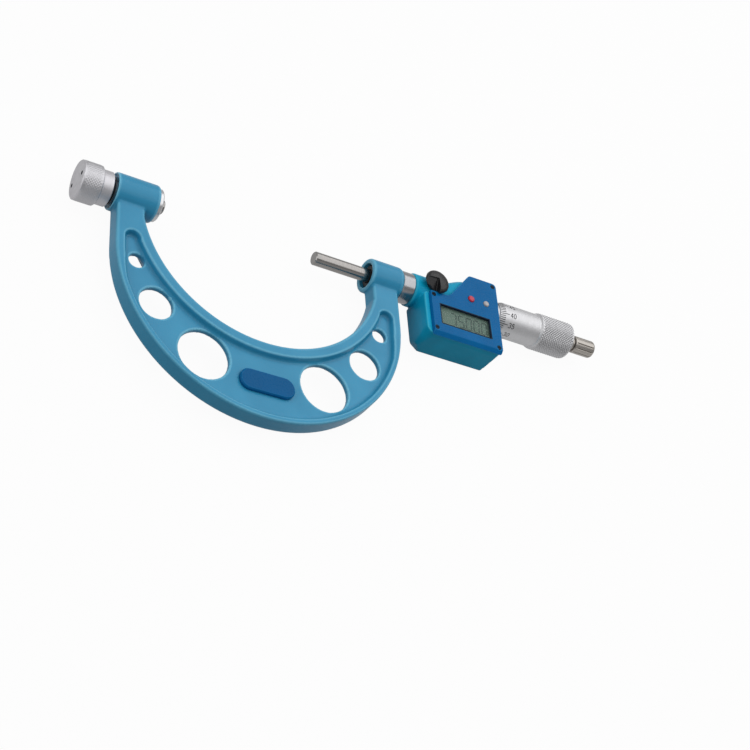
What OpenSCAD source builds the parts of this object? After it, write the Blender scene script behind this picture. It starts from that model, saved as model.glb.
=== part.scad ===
// Digital outside micrometer with an interchangeable anvil, set at its shortest opening.
// Millimetres. The measuring axis is X, with x = 0 at the anvil's measuring face and
// +X towards the ratchet. The frame lies in XY, the display faces +Z.

/* [Measuring line] */
// Opening between anvil and spindle at rest
opening = 75; // [60:1:85]
// Travel of the spindle
travel = 25; // [10:1:25]
// Diameter of the spindle and of the anvil
spindle_d = 6.35; // [5.5:0.05:7]
// Running clearance on the radius of the spindle
run_gap = 0.03; // [0.01:0.01:0.08]
// Thickness of the hard metal tips
tip_t = 2.6; // [1:0.1:4]
// Edge break on the tips
tip_edge = 0.35; // [0.1:0.05:0.6]

/* [Frame] */
// Thickness of the frame over its rim
rim_t = 8.6; // [7:0.1:10]
// Thickness of the web between the rims
web_t = 2.9; // [2:0.1:4.5]
// How far the outer bow stays inside the bosses' far ends
bow_in = 1.8; // [0.6:0.1:5]
// Offset of the bow from the middle between the bosses
bow_off = 1.8; // [0:0.1:3]
// Drop of the outer bow's centre under the measuring axis
bow_drop = 26.8; // [22:0.2:32]
// Radial distance between inner and outer bow
band_w = 11.3; // [9.4:0.1:15]
// Width of the outer rim
rim_w = 3.8; // [3:0.1:5.5]
// Width of the inner rim
lip_w = 4.9; // [3:0.1:5.4]
// Slope of the rim's walls, sideways
draft_w = 1; // [0.4:0.1:1.6]
// Edge break round the frame
frame_edge = 0.7; // [0.3:0.1:1.2]
// Width of the arm under the anvil boss
arm_w = 12.6; // [10:0.1:14]
// Width of the arm under the spindle boss
arm2_w = 13.4; // [10:0.1:14]
// Radius of the two large holes
hole1_r = 11.7; // [8:0.1:12]
// Radius of the two middle holes
hole2_r = 7.6; // [5:0.1:8]
// Radius of the two small holes
hole3_r = 3.5; // [2:0.1:4]
// Angle of the large holes below level, about the bow's centre
hole1_a = 57.5; // [54:0.1:61]
// Angle of the middle holes below level
hole2_a = 27.5; // [24:0.1:31]
// Angle of the small holes below level
hole3_a = 6.9; // [5:0.1:9]
// Length of the raised pad
pad_l = 25.8; // [18:0.2:30]
// Height of the raised pad across the bow
pad_w = 10.2; // [7:0.2:12]
// How far the pad stands off the web
pad_t = 1.8; // [0.8:0.1:2.6]

/* [Anvil side] */
// Diameter of the anvil boss
boss_d = 16.9; // [15:0.1:19]
// Length of the anvil boss
boss_l = 19.6; // [16:0.2:24]
// How far the anvil stands out of its bush
anvil_out = 2.25; // [1.5:0.05:4]
// Thickness of the bush's flange
flange_t = 1.75; // [1:0.05:2.5]
// Diameter of the bush's flange
flange_d = 14.6; // [13:0.1:15]
// Diameter of the bush inside the boss
bush_d = 10.6; // [9.4:0.1:11.4]
// Diameter of the threaded end of the bush
bush_thread_d = 12.4; // [11.8:0.1:13.2]
// Diameter of the knurled clamp cap
cap_d = 17.5; // [16.5:0.1:19]
// Length of the knurled part of the cap
cap_l = 9.2; // [7:0.1:12]
// Diameter of the cap's neck
cap_neck_d = 15.3; // [14.6:0.1:16.4]
// Length of the cap's neck
cap_neck_l = 4.9; // [3:0.1:6]
// Open gap between cap and boss
cap_gap = 1.5; // [0.8:0.1:3]
// Thickness of the cap's end wall
cap_wall = 2.2; // [1.6:0.1:3]
// Diameter of the two spanner holes
spanner_d = 1.6; // [1:0.1:2]
// Spacing of the two spanner holes
spanner_c = 11.2; // [8:0.1:12]
// Length of the black ring on the anvil's tail
tail_l = 3.2; // [2:0.1:4]
// Diameter of the black ring on the anvil's tail
tail_d = 10.6; // [9:0.1:11]
// Turns that take the cap off its seat
cap_turns = 6; // [2:1:8]
// Pitch of the cap's thread
cap_pitch = 1; // [0.75:0.25:1.25]

/* [Spindle side] */
// Clear width between the two bosses
bosses_gap = 106.6; // [100:0.1:112]
// Diameter of the spindle boss
head_d = 16.6; // [15:0.1:18.5]
// Length of the spindle boss
head_l = 17; // [14:0.1:20]
// Diameter of the pocket round the spindle
pocket_d = 11.8; // [10.6:0.1:12.6]
// Depth of the pocket round the spindle
pocket_l = 3; // [2:0.1:4.5]
// Outer diameter of the guide tube
guide_d = 9.5; // [9:0.1:10]
// Length of the bright ring between boss and housing
ring_l = 6.5; // [4:0.1:9]
// Diameter of the bright ring
ring_d = 15; // [13:0.1:15.6]

/* [Housing] */
// Length of the housing behind the panel
house_l = 42.4; // [40:0.1:46]
// Height of the housing over the axis
house_up = 11.6; // [10:0.1:13]
// Depth of the housing under the axis
house_down = 28.8; // [27:0.1:32]
// How far the housing reaches behind the axis
house_back = 9.4; // [9:0.1:11]
// Wall of the housing before the sleeve's bore
front_wall = 1.4; // [1.3:0.1:3]
// How far the housing's right side leans in towards its foot
slant = 1.2; // [0:0.1:2]
// How deep the housing's rear left foot is cut off
foot_cut = 1.7; // [0.4:0.1:2.6]
// Diameter of the housing's round neck
neck_d = 16.2; // [15.6:0.1:16.4]
// Length of the neck in front of the housing's block
neck_l = 3.2; // [2:0.1:4]
// Thickness of the front panel
panel_t = 1.7; // [1.5:0.1:2.4]
// Width of the panel's bevel on the left
bevel_w = 2.8; // [1.5:0.1:3.2]
// Width of the display opening
window_w = 29; // [24:0.1:29.6]
// Height of the display opening
window_h = 11.8; // [9:0.1:12.2]
// Middle of the display from the housing's left edge
window_x = 21.6; // [21.2:0.1:22]
// Middle of the display under the axis
window_y = 16.9; // [16.6:0.1:17.3]
// Thickness of the window's lens
lens_t = 0.6; // [0.4:0.05:0.8]
// Thickness of the display glass
lcd_t = 2.2; // [1.5:0.1:2.3]
// Thickness of the circuit board
board_t = 1.2; // [0.8:0.1:1.6]
// Diameter of the red button
red_d = 3.4; // [2.6:0.1:3.8]
// Diameter of the grey button
grey_d = 3; // [2.4:0.1:3.6]
// Middle of the red button from the housing's right edge
red_in = 16.3; // [15.4:0.1:16.9]
// Middle of the grey button from the housing's right edge
grey_in = 7.6; // [6.8:0.1:8.4]
// Middle of the buttons under the axis
key_y = 2.6; // [2:0.1:3.2]
// Travel of the buttons
key_travel = 0.4; // [0.2:0.05:0.45]
// How far the buttons stand out of the panel
key_out = 0.8; // [0.5:0.05:1.2]
// Top of the panel's low left part under the axis
notch_y = 5; // [4:0.1:6]
// Width of the panel's low left part
notch_w = 14; // [12:0.2:16]
// Length of the panel's top edge, right of the slope beside the lock knob
slope_in = 15; // [12.4:0.2:17.4]
// Start of the encoder's chamber from the housing's left edge
enc_x = 20.2; // [19:0.1:22]
// Length of the encoder's chamber
enc_l = 8.8; // [7:0.1:10]
// Radius of the encoder's chamber
enc_r = 7.6; // [7:0.1:7.8]
// Wall between the encoder and the sleeve
enc_wall = 1.4; // [1:0.1:2]
// Diameter of the battery
cell_d = 11.6; // [9.5:0.1:11.8]
// Thickness of the battery
cell_t = 5.4; // [3:0.1:5.6]
// Diameter of the battery cover
cover_d = 14.8; // [14.4:0.1:15.6]
// Thickness of the battery cover
cover_t = 1.6; // [1.4:0.1:1.8]

/* [Lock] */
// Diameter of the lock knob
lock_d = 12.4; // [9:0.1:13.2]
// Height of the lock knob
lock_h = 4.8; // [4:0.1:7]
// Lock knob from the housing's left edge
lock_x = 6.2; // [5.2:0.1:7.6]
// Slope of the knob's finger flat
flat_a = 32; // [20:1:45]
// Diameter of the lock screw
lock_pin_d = 3; // [2.4:0.1:3.4]

/* [Thimble] */
// Diameter of the thimble
thimble_d = 16.6; // [16.4:0.1:17.6]
// Length of the plain thimble
thimble_l = 24.2; // [22:0.1:28]
// Gap between housing and thimble at rest
thimble_gap = 3.5; // [2:0.1:6]
// Diameter of the knurled grip
grip_d = 17.9; // [17.2:0.1:19.5]
// Length of the knurled grip
grip_l = 20.4; // [16:0.1:24]
// Diameter of the graduated sleeve
sleeve_d = 14; // [13.4:0.1:14.2]
// Wall of the graduated sleeve
sleeve_t = 1.15; // [0.8:0.05:1.6]
// Diameter of the ratchet knob
ratchet_d = 8.7; // [8:0.1:10]
// Length of the ratchet knob
ratchet_l = 12.2; // [10:0.1:15]
// Gap between grip and ratchet knob
ratchet_gap = 4.8; // [3:0.1:6]
// Number of flutes on the ratchet knob
flutes = 18; // [10:1:24]

// Length of the spindle's nut in the inner sleeve
nut_l = 10.4; // [8:0.1:14]
// Length of the adjusting nut's seat behind the sleeve
adjust_l = 5.6; // [4:0.1:7]
// How far the inner sleeve reaches past the thimble's edge at full travel
core_out = 6.2; // [5.8:0.1:7]
// Room in the thimble behind the inner sleeve
bore_in = 3; // [2:0.1:4]
// Closed end of the grip, behind the cone that holds it
grip_wall = 3.6; // [2:0.1:4.4]
// Large radius of the cone
cone_r = 4.4; // [4:0.1:5.5]
// Diameter of the ratchet's screw
ratchet_screw_d = 3.5; // [3:0.1:4]
// Depth of the ratchet screw in the spindle
ratchet_screw_in = 3.6; // [2.5:0.1:5]
// Depth of the ratchet knob's open end beyond the screw's head
ratchet_head = 3; // [2.6:0.1:4]
// Thickness of the ratchet screw's head
screw_head_t = 1.6; // [1:0.1:1.8]
// Floor of the ratchet knob
ratchet_floor = 2.2; // [1.6:0.1:3]

/* [Hidden] */
$fn = 96;
eps = 0.02;
fit = 0.05;
house_front = sleeve_d / 2 + front_wall;
spindle_r = spindle_d / 2;
panel_z1 = house_front + panel_t;
// stations along the axis
boss_x1 = -anvil_out - flange_t;
boss_x0 = boss_x1 - boss_l;
head_x0 = boss_x1 + bosses_gap;
head_x1 = head_x0 + head_l;
ring_x1 = head_x1 + ring_l;
house_x0 = ring_x1 + neck_l;
house_x1 = house_x0 + house_l;
thimble_x0 = house_x1 + thimble_gap;
thimble_x1 = thimble_x0 + thimble_l;
grip_x1 = thimble_x1 + grip_l;
ratchet_x0 = grip_x1 + ratchet_gap;
ratchet_x1 = ratchet_x0 + ratchet_l;
bow_x = (boss_x1 + head_x0) / 2 - bow_off;
cap_x1 = boss_x0 - cap_gap;
cap_xn = cap_x1 - cap_neck_l;
cap_x0 = cap_xn - cap_l;
// the tail of the anvil lies between the bush and the pad in the cap
pad_rest_t = 1.2;
tail_x0 = cap_x0 + cap_wall + pad_rest_t;
tail_x1 = tail_x0 + tail_l;
bush_x0 = tail_x1;
// arms
bow_r = (head_x1 - boss_x0) / 2 - bow_in;
throat_r = bow_r - band_w;
arm_xl = bow_x - bow_r;
arm_xr = bow_x + bow_r;
// lock
lock_px = house_x0 + lock_x;
lock_z0 = neck_d / 2 + 0.35;
lock_rim = max(lock_z0, panel_z1) + 0.3;
lock_top = lock_z0 + lock_h;
lock_seat = 2;
stem_x0 = head_x0 + pocket_l + 0.6;
// encoder chamber
enc_x0 = house_x0 + enc_x;
enc_x1 = enc_x0 + enc_l;
stem_x1 = enc_x0 - 2;
core_x0 = enc_x1 + enc_wall;
core_x1 = thimble_x0 + travel + core_out;
sleeve_x1 = core_x1 - adjust_l;
// the thimble's bore ends at the cone that holds it on the spindle
bore_x1 = core_x1 + bore_in;
cone_l = grip_x1 - grip_wall - bore_x1;
screw_r = ratchet_screw_d / 2;
core_d = sleeve_d - 2 * sleeve_t;
red_x = house_l - red_in;
grey_x = house_l - grey_in;
slope_x = house_l - slope_in;
keyway_w = 1.4;
keyway_d = 0.9;
// plate heights behind the panel
lens_z0 = house_front;
lcd_z0 = house_front - 0.2 - lcd_t;
board_z0 = lcd_z0 - board_t;
back_z = -house_back;
win_cx = house_x0 + window_x;
win_cy = -window_y;
cell_z0 = back_z + cover_t + 0.3;

// unit vector
function unit(v) = v / norm(v);

// points of the arc that rounds corner b between a and c
function corner(a, b, c, r, n) =
    let (u = unit(a - b), w = unit(c - b), half = acos(u * w) / 2, m = b + unit(u + w) * r / sin(half),
        s = b + u * r / tan(half) - m, e = b + w * r / tan(half) - m,
        t0 = atan2(s[1], s[0]), turn = (atan2(e[1], e[0]) - t0 + 540) % 360 - 180)
    [for (i = [0:n]) m + r * [cos(t0 + turn * i / n), sin(t0 + turn * i / n)]];

// outline with every corner rounded, each entry is [x, y, radius]
function rounded(p, n = 6) =
    [for (i = [0:len(p) - 1]) each
        let (k = len(p), a = p[(i + k - 1) % k], b = p[i], c = p[(i + 1) % k])
        corner([a[0], a[1]], [b[0], b[1]], [c[0], c[1]], b[2], n)];

// round bar along X
module bar(x0, x1, r) {
    translate([x0, 0, 0]) rotate([0, 90, 0]) cylinder(h = x1 - x0, r = r);
}

// cone along X
module taper(x0, x1, r0, r1) {
    translate([x0, 0, 0]) rotate([0, 90, 0]) cylinder(h = x1 - x0, r1 = r0, r2 = r1);
}

// round body turned about X from [x, r] points
module turned(points) {
    rotate([90, 0, 90]) rotate_extrude() polygon([for (p = points) [p[1], p[0]]]);
}

// disc along Z
module disc(x, y, z0, z1, r) {
    translate([x, y, z0]) cylinder(h = z1 - z0, r = r);
}

// distance from the bow's centre to a point at a share across the sunk band, in at 0 and out at 1
function band_at(a, share) =
    let (q = throat_r + lip_w, b = bow_drop * sin(a), t = sqrt(b * b + q * q - bow_drop * bow_drop) - b)
    t + (bow_r - rim_w - t) * share;

// middles of the holes on one side, with their radii
function holes() = [for (k = [[hole1_a, 0.52, hole1_r], [hole2_a, 0.515, hole2_r], [hole3_a, 0.46, hole3_r]])
    let (t = band_at(k[0], k[1])) [t * cos(k[0]), -bow_drop - t * sin(k[0]), k[2]]];

module frame_arm(x0, x1) {
    e = frame_edge;
    h = rim_t / 2;
    translate([0, -3, 0]) rotate([90, 0, 0]) linear_extrude(bow_drop - 1)
        polygon([[x0, -h + e], [x0 + e, -h], [x1 - e, -h], [x1, -h + e],
            [x1, h - e], [x1 - e, h], [x0 + e, h], [x0, h - e]]);
}

// the bow, with all its edges broken
module frame_bow() {
    e = frame_edge;
    h = rim_t / 2;
    difference() {
        translate([bow_x, -bow_drop, 0]) union() {
            translate([0, 0, -h]) cylinder(h = e, r1 = bow_r - e, r2 = bow_r);
            translate([0, 0, -h + e]) cylinder(h = rim_t - 2 * e, r = bow_r);
            translate([0, 0, h - e]) cylinder(h = e, r1 = bow_r, r2 = bow_r - e);
        }
        translate([bow_x, 0, -h - 1]) cylinder(h = rim_t + 2, r = throat_r);
        translate([bow_x, 0, h - e]) cylinder(h = e + eps, r1 = throat_r, r2 = throat_r + e);
        translate([bow_x, 0, -h - eps]) cylinder(h = e + eps, r1 = throat_r + e, r2 = throat_r);
        translate([bow_x - bow_r - 1, -4, -h - 1]) cube([2 * bow_r + 2, bow_r, rim_t + 2]);
    }
}

// one sunk side of the web, with sloping walls and round ends
module frame_pocket() {
    z0 = web_t / 2;
    d = rim_t / 2 - z0;
    tip_y = -bow_drop + 2.2;
    tip_r = (bow_r - rim_w - sqrt(pow(throat_r + lip_w, 2) - pow(tip_y, 2))) / 2;
    tip_x = bow_r - rim_w - tip_r;
    intersection() {
        difference() {
            translate([bow_x, -bow_drop, z0]) cylinder(h = d + eps, r1 = bow_r - rim_w - draft_w, r2 = bow_r - rim_w);
            translate([bow_x, 0, z0 - eps]) cylinder(h = d + 3 * eps, r1 = throat_r + lip_w + draft_w, r2 = throat_r + lip_w);
        }
        translate([bow_x - bow_r, tip_y - 2 * bow_r, z0 - 1]) cube([2 * bow_r, 2 * bow_r, rim_t]);
    }
    for (s = [-1, 1])
        translate([bow_x + s * tip_x, tip_y, z0]) cylinder(h = d + eps, r1 = tip_r - draft_w * 0.8, r2 = tip_r);
}

module frame() {
    color("#4a9bc0") difference() {
        union() {
            difference() {
                union() {
                    frame_bow();
                    frame_arm(arm_xl, arm_xl + arm_w);
                    frame_arm(arm_xr - arm2_w, arm_xr);
                }
                frame_pocket();
                mirror([0, 0, 1]) frame_pocket();
                for (s = [-1, 1], k = holes())
                    disc(bow_x + s * k[0], k[1], -rim_t, rim_t, k[2]);
            }
            turned([[boss_x0, 0], [boss_x0, boss_d / 2 - 0.3], [boss_x0 + 0.3, boss_d / 2],
                [boss_x1 - 0.7, boss_d / 2], [boss_x1, boss_d / 2 - 0.6], [boss_x1, 0]]);
            turned([[head_x0, 0], [head_x0, head_d / 2 - 1], [head_x0 + 0.3, head_d / 2 - 0.35],
                [head_x0 + 1, head_d / 2], [head_x1 - 1.3, head_d / 2], [head_x1, head_d / 2 - 0.7],
                [head_x1, 0]]);
        }
        bar(boss_x0 - 1, boss_x1 + 1, bush_d / 2);
        bar(boss_x0 - 1, boss_x0 + 0.8, cap_neck_d / 2 + 0.1);
        bar(head_x0 - 1, head_x0 + pocket_l, pocket_d / 2);
        bar(head_x0, head_x1 + 1, guide_d / 2);
    }
}

module label_pad() {
    r = pad_w / 2 - 0.2;
    pad_y = bow_drop + band_at(90, 0.51);
    z0 = web_t / 2;
    // two steps give the pad its broken edge
    color("#0d5c90") for (s = [[0, pad_t - 0.4, 0], [pad_t - 0.4, pad_t, 0.45]])
        translate([bow_x, -pad_y, z0 + s[0]]) linear_extrude(s[1] - s[0])
            polygon(rounded([[-pad_l / 2 + s[2], -pad_w / 2 + s[2], r - s[2]], [pad_l / 2 - s[2], -pad_w / 2 + s[2], r - s[2]],
                [pad_l / 2 - s[2], pad_w / 2 - s[2], r - s[2]], [-pad_l / 2 + s[2], pad_w / 2 - s[2], r - s[2]]], 10));
}

module anvil_bush() {
    color("#c8c9cb") turned([[bush_x0, spindle_r + run_gap], [bush_x0, bush_thread_d / 2 - 0.4],
        [bush_x0 + 0.4, bush_thread_d / 2], [boss_x0 + 0.2, bush_thread_d / 2], [boss_x0 + 0.2, bush_d / 2],
        [boss_x1, bush_d / 2], [boss_x1, flange_d / 2], [-anvil_out - 0.5, flange_d / 2],
        [-anvil_out, flange_d / 2 - 0.5], [-anvil_out, spindle_r + run_gap]]);
}

module anvil() {
    color("#8f8d8b") bar(tail_x0, -tip_t, spindle_r);
}

module anvil_tip() {
    color("#a5a4a2") turned([[-tip_t, 0], [-tip_t, spindle_r], [-tip_edge, spindle_r], [0, spindle_r - tip_edge], [0, 0]]);
}

module anvil_tail() {
    color("#2a2a2c") turned([[tail_x0, spindle_r], [tail_x0, tail_d / 2 - 0.4], [tail_x0 + 0.4, tail_d / 2],
        [tail_x1 - 0.4, tail_d / 2], [tail_x1, tail_d / 2 - 0.4], [tail_x1, spindle_r]]);
}

module cap_pad() {
    x0 = cap_x0 + cap_wall + eps;
    color("#b58a45") turned([[x0, 0], [x0, tail_d / 2 - 0.6], [tail_x0 - eps, tail_d / 2 - 0.6], [tail_x0 - eps, 0]]);
}

module clamp_cap() {
    r = cap_d / 2;
    n = cap_neck_d / 2;
    inner = bush_thread_d / 2 + fit;
    color("#a9a9ac") difference() {
        turned([[cap_x0, 0], [cap_x0, r - 0.4], [cap_x0 + 0.4, r], [cap_xn - 0.4, r], [cap_xn, r - 0.4],
            [cap_xn, n], [cap_x1 - 0.3, n], [cap_x1, n - 0.3], [cap_x1, inner], [cap_x0 + cap_wall, inner],
            [cap_x0 + cap_wall, 0]]);
        for (s = [-1, 1])
            rotate([98, 0, 0]) translate([cap_x0 - 1, s * spanner_c / 2, 0]) rotate([0, 90, 0]) cylinder(h = 2.4, d = spanner_d, $fn = 24);
    }
}

module guide_tube() {
    color("#b9babc") difference() {
        turned([[stem_x0, spindle_r + run_gap], [stem_x0, guide_d / 2 - 0.3], [stem_x0 + 0.3, guide_d / 2],
            [stem_x1, guide_d / 2], [stem_x1, spindle_r + run_gap]]);
        disc(lock_px, 0, 0, guide_d, lock_pin_d / 2 + fit);
    }
}

module wiper_ring() {
    r = guide_d / 2;
    color("#3b3a38") turned([[head_x0 + pocket_l - 1.5, spindle_r + 0.3], [head_x0 + pocket_l - 1.5, r],
        [head_x0 + pocket_l - 1, r + 0.8], [head_x0 + pocket_l, r + 0.8], [head_x0 + pocket_l, r],
        [stem_x0, r], [stem_x0, spindle_r + 0.3]]);
}

module bright_ring() {
    r = ring_d / 2;
    color("#cfcdd1") turned([[head_x1, guide_d / 2], [head_x1, r - 0.3], [head_x1 + 0.3, r], [ring_x1 - 0.3, r],
        [ring_x1, r - 0.3], [ring_x1, guide_d / 2]]);
}

// the block as seen from the front, its right side leans in towards its foot
function house_outline(x0, x1, up, down, foot_r) = [
    [x0, -down, foot_r], [x0, -notch_y, 2.4], [x0 + notch_w, -notch_y, 6], [x0 + slope_x, up, 3.4], [x1, up, 2.4],
    [x1 - slant, -down, 1.2]];

// the block of the housing, its left, lower and rear faces lean inwards
module housing_block() {
    x0 = house_x0;
    x1 = house_x1;
    zf = house_front;
    difference() {
        intersection() {
            translate([0, 0, back_z]) linear_extrude(zf - back_z)
                polygon(rounded(house_outline(x0, x1, house_up, house_down, 4.2)));
            translate([0, house_up + 1, 0]) rotate([90, 0, 0]) linear_extrude(house_up + house_down + 2)
                polygon([[x0, zf], [x1, zf], [x1, back_z + 1], [x1 - 1, back_z], [x0 + 2.2, back_z],
                    [x0 + 0.9, back_z + 1.2], [x0, zf - 4]]);
            translate([x0 - 1, 0, 0]) rotate([90, 0, 90]) linear_extrude(x1 - x0 + 2)
                polygon([[-house_down, zf], [-house_down, zf - 3], [-house_down + 1, back_z + 1],
                    [-house_down + 2, back_z], [house_up - 3, back_z], [house_up, back_z + 3],
                    [house_up, zf - 1.4], [house_up - 1.4, zf]]);
        }
        translate([x0 + 2.2, -house_down + 2, back_z]) rotate([0, 120, 225])
            translate([-10, -10, -foot_cut]) cube([20, 20, 20]);
    }
}

// the round part over the encoder flares out of the neck
module housing_drum() {
    x0 = house_x0 + 12.5;
    n = neck_d / 2;
    u = house_up;
    intersection() {
        turned([[x0, 0], [x0, n], [x0 + 2, n + 0.2], [x0 + 5.2, n + (u - n) * 0.3], [x0 + 9.2, n + (u - n) * 0.78],
            [x0 + 11.4, u - 0.1], [x0 + 14, u], [house_x1 - 0.4, u], [house_x1, u - 0.4], [house_x1, 0]]);
        translate([house_x0, -u - 1, back_z]) cube([house_l + 1, 2 * u + 2, house_front - back_z]);
    }
}

module housing() {
    bx = board_w();
    by = board_h();
    color("#1c7894") difference() {
        union() {
            housing_block();
            turned([[ring_x1, 0], [ring_x1, neck_d / 2 - 0.5], [ring_x1 + 0.5, neck_d / 2], [house_x0 + 16, neck_d / 2],
                [house_x0 + 16, 0]]);
            housing_drum();
        }
        // bores along the axis: guide tube, encoder chamber, sleeves
        bar(ring_x1 - 1, enc_x0 + 1, guide_d / 2);
        bar(enc_x0, enc_x1, enc_r);
        bar(enc_x1 - 1, core_x0 + 1, 5);
        bar(core_x0, house_x1 + 1, sleeve_d / 2);
        // lock screw
        disc(lock_px, 0, 0, house_front + 2, lock_pin_d / 2 + fit);
        // chamber behind the display, with a ledge for the board
        translate([win_cx - bx / 2, win_cy - by / 2, board_z0]) cube([bx, by, house_front]);
        translate([win_cx - bx / 2 + 1.2, win_cy - by / 2 + 0.6, cell_z0]) cube([bx - 2.4, by - 1.2, house_front - cell_z0 + 1]);
        // battery opening with a seat for its cover
        disc(win_cx, win_cy, back_z - 1, cell_z0 + 1, cell_d / 2 + 0.2);
        disc(win_cx, win_cy, back_z - 1, back_z + cover_t + eps, cover_d / 2 + fit);
        // pockets under the buttons
        disc(house_x0 + red_x, -key_y, house_front - 0.8, house_front + 1, red_d / 2 + 0.8);
        disc(house_x0 + grey_x, -key_y, house_front - 0.8, house_front + 1, grey_d / 2 + 0.8);
        for (p = screw_points())
            disc(p[0], p[1], house_front - 3, house_front + 1, 0.65);
    }
}

function board_w() = window_w + 2.6;
function board_h() = window_h + 2.4;
function screw_points() = [[house_x0 + 4.4, -notch_y - 1.8], [house_x0 + 4.3, -house_down + 3],
    [house_x1 - 1.9 - slant * 0.9, -house_down + 2.4], [house_x1 - 2, house_up - 1.9]];

module front_panel() {
    x0 = house_x0 - 0.6;
    x1 = house_x1 + 0.2;
    z0 = house_front;
    z1 = panel_z1;
    b = bevel_w;
    color("#1f66a8") difference() {
        intersection() {
            translate([0, 0, z0]) linear_extrude(panel_t)
                polygon(rounded(house_outline(x0, x1, house_up + 0.3, house_down + 0.8, 1.2)));
            translate([0, house_up + 1, 0]) rotate([90, 0, 0]) linear_extrude(house_up + house_down + 3)
                polygon([[x0, z0], [x1, z0], [x1, z1 - 0.3], [x1 - 0.3, z1], [x0 + b, z1], [x0, z0 + 0.4]]);
            translate([x0 - 1, 0, 0]) rotate([90, 0, 90]) linear_extrude(x1 - x0 + 2)
                polygon([[-house_down - 0.8, z0], [-house_down - 0.8, z0 + 0.3], [-house_down + b * 0.45, z1],
                    [house_up, z1], [house_up + 0.3, z1 - 0.3], [house_up + 0.3, z0]]);
        }
        // display opening, stepped for the lens
        translate([win_cx - window_w / 2, win_cy - window_h / 2, z0 - 1]) cube([window_w, window_h, panel_t + 2]);
        translate([win_cx - window_w / 2 - 0.9, win_cy - window_h / 2 - 0.9, z0 - 1])
            cube([window_w + 1.8, window_h + 1.8, lens_t + 1]);
        // button bores, wider below for the buttons' shoulders
        for (k = [[red_x, red_d], [grey_x, grey_d]]) {
            disc(house_x0 + k[0], -key_y, z0 - 1, z1 + 1, k[1] / 2 + fit);
            disc(house_x0 + k[0], -key_y, z0 - 1, z0 + 0.6, k[1] / 2 + 0.8);
        }
        for (p = screw_points()) {
            disc(p[0], p[1], z0 - 1, z1 + 1, 0.65);
            disc(p[0], p[1], z1 - 0.8, z1 + 1, 1.2);
        }
    }
}

module window_lens() {
    color("#c9d6d6", 0.5) translate([win_cx - window_w / 2 - 0.8, win_cy - window_h / 2 - 0.8, lens_z0])
        cube([window_w + 1.6, window_h + 1.6, lens_t]);
}

module display() {
    color("#9aa58f") translate([win_cx - window_w / 2 - 0.6, win_cy - window_h / 2 - 0.5, lcd_z0])
        cube([window_w + 1.2, window_h + 1, lcd_t]);
}

module circuit_board() {
    color("#1d5c3a") translate([win_cx - board_w() / 2 + 0.15, win_cy - board_h() / 2 + 0.15, board_z0])
        cube([board_w() - 0.3, board_h() - 0.3, board_t]);
}

module battery_contact() {
    z0 = cell_z0 + cell_t;
    color("#c9a24a") {
        translate([win_cx - 3, win_cy - 1.5, z0]) cube([9, 3, 0.3]);
        translate([win_cx + 5.7, win_cy - 1.5, z0]) cube([0.3, 3, board_z0 - z0]);
    }
}

module battery() {
    color("#c2c4c6") {
        disc(win_cx, win_cy, cell_z0, cell_z0 + cell_t - 0.5, cell_d / 2);
        disc(win_cx, win_cy, cell_z0 + cell_t - 0.5, cell_z0 + cell_t, cell_d / 2 - 1.1);
    }
}

module battery_cover() {
    color("#2b2c2e") difference() {
        union() {
            disc(win_cx, win_cy, back_z, back_z + cover_t, cover_d / 2);
            disc(win_cx, win_cy, back_z, cell_z0 - fit, cell_d / 2 - 0.1);
        }
        translate([win_cx - cover_d / 2 + 2, win_cy - 0.8, back_z - 1]) cube([cover_d - 4, 1.6, 1.9]);
    }
}

module key_seals() {
    color("#3a3a3c") for (k = [[red_x, red_d], [grey_x, grey_d]])
        disc(house_x0 + k[0], -key_y, house_front - 0.8, house_front - key_travel, k[1] / 2 + 0.7);
}

// a button with a shoulder under the panel
module button(x, d) {
    translate([house_x0 + x, -key_y, 0]) rotate_extrude()
        polygon([[0, house_front + 0.05], [d / 2 + 0.6, house_front + 0.05], [d / 2 + 0.6, house_front + 0.55],
            [d / 2, house_front + 0.55], [d / 2, panel_z1 + key_out - 0.4], [d / 2 - 0.4, panel_z1 + key_out],
            [0, panel_z1 + key_out]]);
}

module red_button() {
    color("#c8314a") button(red_x, red_d);
}

module grey_button() {
    color("#b7b4b4") button(grey_x, grey_d);
}

module panel_screws() {
    color("#232a33") for (p = screw_points()) {
        disc(p[0], p[1], house_front - 2.6, panel_z1 - 0.8 + eps, 0.6);
        difference() {
            disc(p[0], p[1], panel_z1 - 0.8, panel_z1 - 0.1, 1.1);
            translate([p[0] - 0.8, p[1] - 0.15, panel_z1 - 0.4]) cube([1.6, 0.3, 1]);
        }
    }
}

module lock_knob() {
    r = lock_d / 2;
    h = lock_top - lock_rim;
    color("#3b3b3d") difference() {
        translate([lock_px, 0, 0]) rotate_extrude()
            polygon([[0, lock_z0], [r * 0.66, lock_z0], [r * 0.66, lock_rim - 0.4], [r - 0.5, lock_rim],
                [r, lock_rim + 0.4], [r, lock_rim + h * 0.38], [r * 0.94, lock_rim + h * 0.62],
                [r * 0.8, lock_rim + h * 0.82], [r * 0.58, lock_rim + h * 0.94], [r * 0.3, lock_top], [0, lock_top]]);
        // finger flat that falls away from an undercut wall
        translate([lock_px, r * 0.2, lock_rim + h * 0.72]) rotate([0, 0, 184]) rotate([-flat_a, 0, 0])
            cube([2 * r, 2 * r, r]);
        // the screw's seat
        disc(lock_px, 0, lock_z0 - 1, lock_z0 + lock_seat, lock_pin_d / 2);
        for (i = [0:15])
            rotate_about(i * 22.5) disc(r * 1.06, 0, lock_rim - 0.1, lock_rim + h * 0.5, r * 0.1, $fn = 20);
    }
}

module rotate_about(a) {
    translate([lock_px, 0, 0]) rotate([0, 0, a]) children();
}

module lock_screw() {
    color("#8b8c8e") disc(lock_px, 0, spindle_r + run_gap + 1.3, lock_z0 + lock_seat, lock_pin_d / 2);
}

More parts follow.
